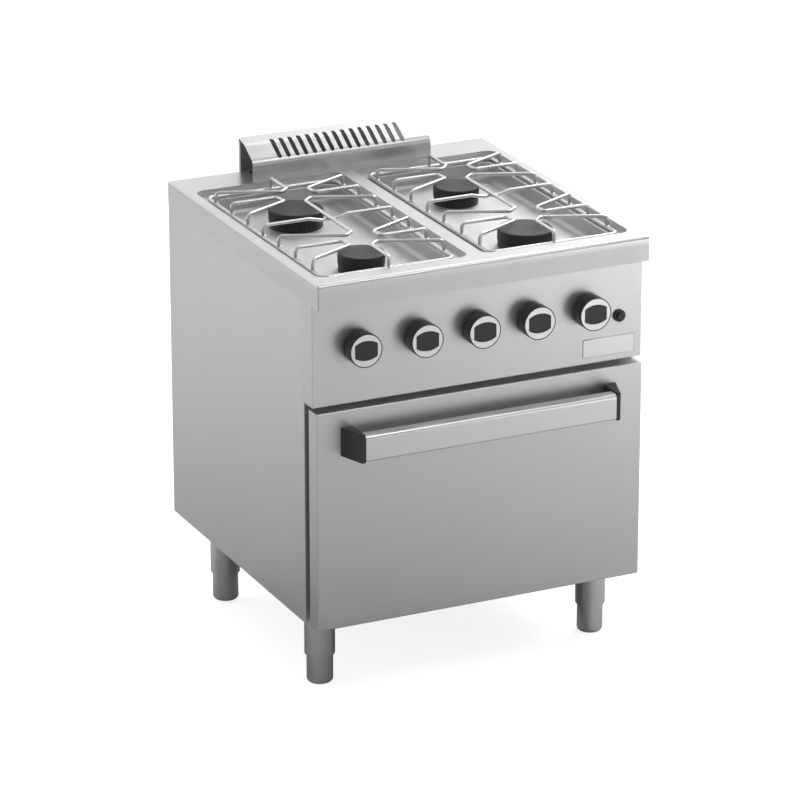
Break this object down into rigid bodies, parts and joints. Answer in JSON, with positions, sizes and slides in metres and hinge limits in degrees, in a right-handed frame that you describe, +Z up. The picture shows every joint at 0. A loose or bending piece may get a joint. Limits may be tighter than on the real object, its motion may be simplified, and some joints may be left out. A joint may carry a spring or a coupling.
{
  "type": "commercial gas range",
  "caption": "Free-standing stainless gas range with open burners under rod pan supports, a drop-down oven door, control knobs and adjustable legs.",
  "frame": {"origin": "on the floor under the centre of the overall box", "axes": "+Z up, front of the range faces -Y, +X to the right seen from the front"},
  "size_m": [0.7, 0.759, 0.925],
  "materials": {
    "satin_steel": "satin brushed stainless sheet",
    "galvanised_steel": "galvanised sheet, dull",
    "badge_metal": "satin blank plate",
    "enamelled_steel": "dark vitreous enamel",
    "mineral_wool": "mineral wool board",
    "cast_plate": "dark cast sole plate",
    "burner_tube": "heat-tinted tube",
    "polished_wire": "chromed wire",
    "gas_pipe_steel": "coated steel pipe",
    "brass_fitting": "machined brass",
    "black_plastic": "black moulded plastic",
    "black_button": "glossy black button",
    "black_cast_iron": "matt black enamelled cast iron",
    "black_gasket": "black door seal",
    "handle_steel": "satin stainless bar",
    "pan_support_steel": "stainless rod",
    "polished_leg": "polished stainless tube",
    "zinc_screws": "zinc-plated screws",
    "black_knob": "black phenolic knob",
    "knob_ring_metal": "satin ring"
  },
  "bodies": {
    "cabinet": {"worktop": "satin_steel", "flue_hood": "satin_steel", "side_panel_left": "satin_steel", "side_panel_right": "satin_steel", "rear_panel": "galvanised_steel", "base_panel": "galvanised_steel", "front_frame": "satin_steel", "control_panel": "satin_steel", "badge_plate": "badge_metal", "oven_liner": "enamelled_steel", "oven_insulation": "mineral_wool", "oven_sole_plate": "cast_plate", "oven_burner": "burner_tube", "shelf_racks": "polished_wire", "flue_duct": "galvanised_steel", "gas_manifold": "gas_pipe_steel", "gas_inlet": "brass_fitting", "gas_taps": "brass_fitting", "oven_thermostat": "brass_fitting", "igniter_body": "black_plastic", "gas_pipes": "gas_pipe_steel", "burner_bodies": "black_cast_iron", "pilot_burners": "brass_fitting", "door_hinge_brackets": "galvanised_steel", "door_gasket": "black_gasket", "leg_tubes": "polished_leg", "body_fasteners": "zinc_screws"},
    "door": {"door_outer_panel": "satin_steel", "door_inner_panel": "satin_steel", "door_insulation": "mineral_wool", "door_hinge_arms": "galvanised_steel", "door_handle": "handle_steel", "handle_caps": "black_plastic"},
    "igniter_button": {"igniter_button": "black_button"},
    "pan_support_left": {"pan_support_left": "pan_support_steel"},
    "pan_support_right": {"pan_support_right": "pan_support_steel"},
    "oven_shelf": {"oven_shelf": "polished_wire"},
    "foot_front_left": {"foot_front_left": "polished_leg"},
    "burner_cap_front_left": {"burner_cap_front_left": "black_cast_iron"},
    "foot_front_right": {"foot_front_right": "polished_leg"},
    "burner_cap_front_right": {"burner_cap_front_right": "black_cast_iron"},
    "foot_rear_left": {"foot_rear_left": "polished_leg"},
    "burner_cap_rear_left": {"burner_cap_rear_left": "black_cast_iron"},
    "foot_rear_right": {"foot_rear_right": "polished_leg"},
    "burner_cap_rear_right": {"burner_cap_rear_right": "black_cast_iron"},
    "knob_push_1": {"knob_spindle_1": "brass_fitting"},
    "knob_1": {"knob_1": "black_knob", "knob_ring_1": "knob_ring_metal"},
    "knob_push_2": {"knob_spindle_2": "brass_fitting"},
    "knob_2": {"knob_2": "black_knob", "knob_ring_2": "knob_ring_metal"},
    "knob_push_3": {"knob_spindle_3": "brass_fitting"},
    "knob_3": {"knob_3": "black_knob", "knob_ring_3": "knob_ring_metal"},
    "knob_push_4": {"knob_spindle_4": "brass_fitting"},
    "knob_4": {"knob_4": "black_knob", "knob_ring_4": "knob_ring_metal"},
    "knob_push_5": {"knob_spindle_5": "brass_fitting"},
    "knob_5": {"knob_5": "black_knob", "knob_ring_5": "knob_ring_metal"}
  },
  "joints": [
    {"name": "door_hinge", "type": "hinge", "parent": "cabinet", "child": "door", "pos_m": [0, -0.2945, 0.16], "axis": [1, 0, 0], "range_deg": [0, 90]},
    {"name": "knob_push_1", "type": "slide", "parent": "cabinet", "child": "knob_push_1", "axis": [0, 1, 0], "range_m": [0, 0.004], "stiffness_N_per_m": 900, "springref_m": -0.002},
    {"name": "knob_turn_1", "type": "hinge", "parent": "knob_push_1", "child": "knob_1", "pos_m": [-0.254, -0.3305, 0.7145], "axis": [0, -1, 0], "range_deg": [0, 180]},
    {"name": "knob_push_2", "type": "slide", "parent": "cabinet", "child": "knob_push_2", "axis": [0, 1, 0], "range_m": [0, 0.004], "stiffness_N_per_m": 900, "springref_m": -0.002},
    {"name": "knob_turn_2", "type": "hinge", "parent": "knob_push_2", "child": "knob_2", "pos_m": [-0.1265, -0.3305, 0.7145], "axis": [0, -1, 0], "range_deg": [0, 180]},
    {"name": "knob_push_3", "type": "slide", "parent": "cabinet", "child": "knob_push_3", "axis": [0, 1, 0], "range_m": [0, 0.004], "stiffness_N_per_m": 900, "springref_m": -0.002},
    {"name": "knob_turn_3", "type": "hinge", "parent": "knob_push_3", "child": "knob_3", "pos_m": [-0.0055, -0.3305, 0.7145], "axis": [0, -1, 0], "range_deg": [0, 180]},
    {"name": "knob_push_4", "type": "slide", "parent": "cabinet", "child": "knob_push_4", "axis": [0, 1, 0], "range_m": [0, 0.004], "stiffness_N_per_m": 900, "springref_m": -0.002},
    {"name": "knob_turn_4", "type": "hinge", "parent": "knob_push_4", "child": "knob_4", "pos_m": [0.111, -0.3305, 0.7145], "axis": [0, -1, 0], "range_deg": [0, 180]},
    {"name": "knob_push_5", "type": "slide", "parent": "cabinet", "child": "knob_push_5", "axis": [0, 1, 0], "range_m": [0, 0.004], "stiffness_N_per_m": 900, "springref_m": -0.002},
    {"name": "knob_turn_5", "type": "hinge", "parent": "knob_push_5", "child": "knob_5", "pos_m": [0.231, -0.3305, 0.7145], "axis": [0, -1, 0], "range_deg": [0, 270]},
    {"name": "igniter_push", "type": "slide", "parent": "cabinet", "child": "igniter_button", "axis": [0, 1, 0], "range_m": [0, 0.004], "stiffness_N_per_m": 700, "springref_m": -0.002},
    {"name": "pan_support_lift_left", "type": "slide", "parent": "cabinet", "child": "pan_support_left", "axis": [0, 0, 1], "range_m": [0, 0.15]},
    {"name": "pan_support_lift_right", "type": "slide", "parent": "cabinet", "child": "pan_support_right", "axis": [0, 0, 1], "range_m": [0, 0.15]},
    {"name": "burner_cap_lift_front_left", "type": "slide", "parent": "cabinet", "child": "burner_cap_front_left", "axis": [0, 0, 1], "range_m": [0, 0.02]},
    {"name": "burner_cap_lift_front_right", "type": "slide", "parent": "cabinet", "child": "burner_cap_front_right", "axis": [0, 0, 1], "range_m": [0, 0.02]},
    {"name": "burner_cap_lift_rear_left", "type": "slide", "parent": "cabinet", "child": "burner_cap_rear_left", "axis": [0, 0, 1], "range_m": [0, 0.02]},
    {"name": "burner_cap_lift_rear_right", "type": "slide", "parent": "cabinet", "child": "burner_cap_rear_right", "axis": [0, 0, 1], "range_m": [0, 0.02]},
    {"name": "foot_extend_front_left", "type": "slide", "parent": "cabinet", "child": "foot_front_left", "axis": [0, 0, -1], "range_m": [0, 0.03]},
    {"name": "foot_extend_front_right", "type": "slide", "parent": "cabinet", "child": "foot_front_right", "axis": [0, 0, -1], "range_m": [0, 0.03]},
    {"name": "foot_extend_rear_left", "type": "slide", "parent": "cabinet", "child": "foot_rear_left", "axis": [0, 0, -1], "range_m": [0, 0.03]},
    {"name": "foot_extend_rear_right", "type": "slide", "parent": "cabinet", "child": "foot_rear_right", "axis": [0, 0, -1], "range_m": [0, 0.03]},
    {"name": "shelf_slide", "type": "slide", "parent": "cabinet", "child": "oven_shelf", "axis": [0, -1, 0], "range_m": [0, 0.02]}
  ]
}
